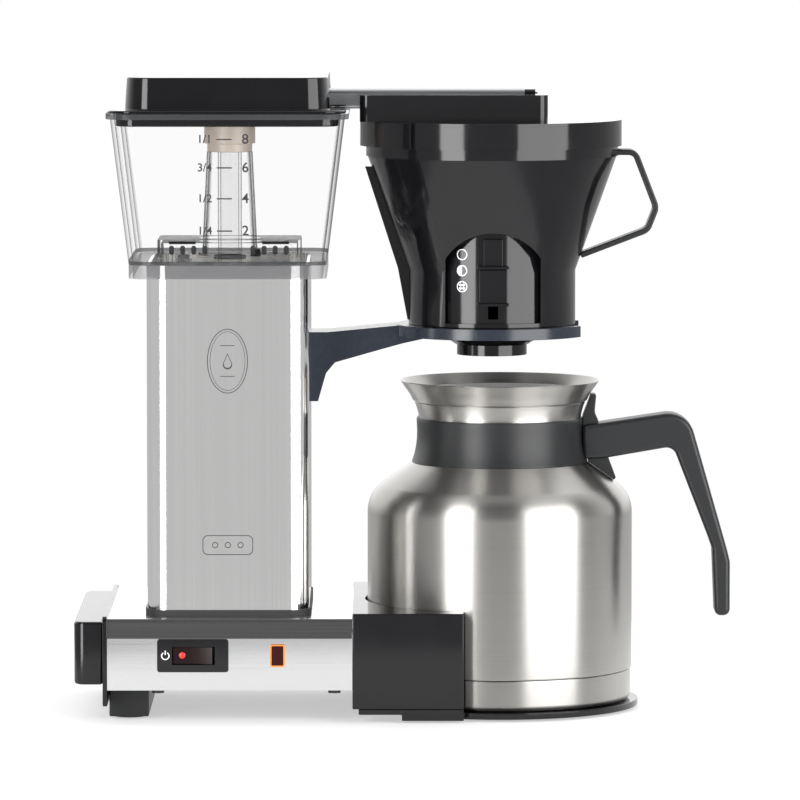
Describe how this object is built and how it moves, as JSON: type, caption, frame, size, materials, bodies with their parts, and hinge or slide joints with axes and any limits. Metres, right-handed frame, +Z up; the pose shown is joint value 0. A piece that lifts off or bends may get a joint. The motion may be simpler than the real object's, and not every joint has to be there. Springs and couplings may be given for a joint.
{
  "type": "drip coffee maker",
  "caption": "Drip coffee maker: aluminium base and column, clear water tank, outlet arm, cone brew basket with drip stop on a fork bracket, steel vacuum jug in a round cradle.",
  "frame": {"origin": "on the table, under the middle of the whole machine's box", "axes": "+X from the end cap to the jug handle, +Z up, the switch faces -Y"},
  "size_m": [0.3656, 0.1692, 0.3556],
  "materials": {
    "polished_aluminium": "polished",
    "zinc_steel": "zinc plated",
    "satin_black": "satin moulded",
    "gloss_black": "glossy moulded",
    "slate_plastic": "satin moulded",
    "rubber": "matt rubber",
    "red_rocker": "translucent red",
    "amber_lens": "translucent amber",
    "inner_plastic": "moulded",
    "ceramic": "glazed",
    "copper_tube": "drawn copper",
    "cast_heater": "cast",
    "thermostat_case": "moulded",
    "silicone_hose": "translucent silicone",
    "steel_ball": "polished",
    "clear_plastic": "clear",
    "riser_glass": "clear glass",
    "warm_silicone": "satin silicone",
    "arm_metal": "satin",
    "jug_steel": "brushed round the axis"
  },
  "bodies": {
    "machine": {"base_housing": "polished_aluminium", "base_bottom_plate": "satin_black", "end_flange": "gloss_black", "end_cap": "gloss_black", "base_foot": "satin_black", "foot_pads": "rubber", "jug_cradle": "satin_black", "jug_tray": "satin_black", "tray_pads": "rubber", "switch_bezel": "gloss_black", "switch_body": "inner_plastic", "lamp_lens": "amber_lens", "lamp_holder": "inner_plastic", "cord_gland": "rubber", "terminal_block": "ceramic", "base_screws": "zinc_steel", "column_gasket": "rubber", "column_sleeve": "polished_aluminium", "column_foot": "zinc_steel", "column_screws": "zinc_steel", "boiler_tube": "copper_tube", "heater_sleeve": "cast_heater", "thermostat": "thermostat_case", "thermal_fuse": "ceramic", "inlet_hose": "silicone_hose", "valve_body": "cast_heater", "riser_hose": "silicone_hose", "tank": "clear_plastic", "riser_seal": "rubber", "riser_tube": "riser_glass", "riser_tower": "clear_plastic", "riser_cap": "warm_silicone", "inlet_grid": "clear_plastic", "outlet_arm": "arm_metal", "arm_end_plug": "gloss_black", "basket_bracket": "slate_plastic", "bracket_screws": "zinc_steel"},
    "rocker": {"power_rocker": "red_rocker"},
    "tank_lid": {"tank_lid": "gloss_black"},
    "float": {"float_block": "inner_plastic"},
    "check_ball": {"valve_ball": "steel_ball"},
    "basket": {"basket_body": "gloss_black", "basket_handle": "satin_black"},
    "basket_lid": {"basket_lid": "gloss_black"},
    "drip_stop": {"drip_slide": "gloss_black", "drip_stem": "gloss_black", "drip_plug": "rubber"},
    "jug": {"jug_shell": "jug_steel", "jug_liner": "jug_steel", "jug_base_cup": "jug_steel", "jug_neck": "jug_steel", "jug_collar": "satin_black", "jug_handle": "satin_black"},
    "jug_lid": {"jug_lid": "gloss_black", "jug_lid_seal": "rubber"}
  },
  "joints": [
    {"name": "tank_lid_lift", "type": "slide", "parent": "machine", "child": "tank_lid", "axis": [0, 0, 1], "range_m": [0, 0.12]},
    {"name": "basket_pull", "type": "slide", "parent": "machine", "child": "basket", "axis": [1, 0, 0], "range_m": [0, 0.16]},
    {"name": "basket_lid_lift", "type": "slide", "parent": "basket", "child": "basket_lid", "axis": [0, 0, 1], "range_m": [0, 0.06]},
    {"name": "drip_stop_slide", "type": "slide", "parent": "basket", "child": "drip_stop", "axis": [0, 0, 1], "range_m": [-0.0088, 0.0088]},
    {"name": "power_switch", "type": "hinge", "parent": "machine", "child": "rocker", "pos_m": [-0.1166, -0.079, 0.0377], "axis": [0, 0, 1], "range_deg": [0, 12]},
    {"name": "jug_pull", "type": "slide", "parent": "machine", "child": "jug", "axis": [1, 0, 0], "range_m": [0, 0.2]},
    {"name": "jug_lid_twist", "type": "hinge", "parent": "jug", "child": "jug_lid", "pos_m": [0.0535, 0, 0.165], "axis": [0, 0, 1], "range_deg": [0, 90]},
    {"name": "float_rise", "type": "slide", "parent": "machine", "child": "float", "axis": [0, 0, 1], "range_m": [0, 0.003]},
    {"name": "check_ball_lift", "type": "slide", "parent": "machine", "child": "check_ball", "axis": [0, 0, 1], "range_m": [0, 0.003]}
  ]
}
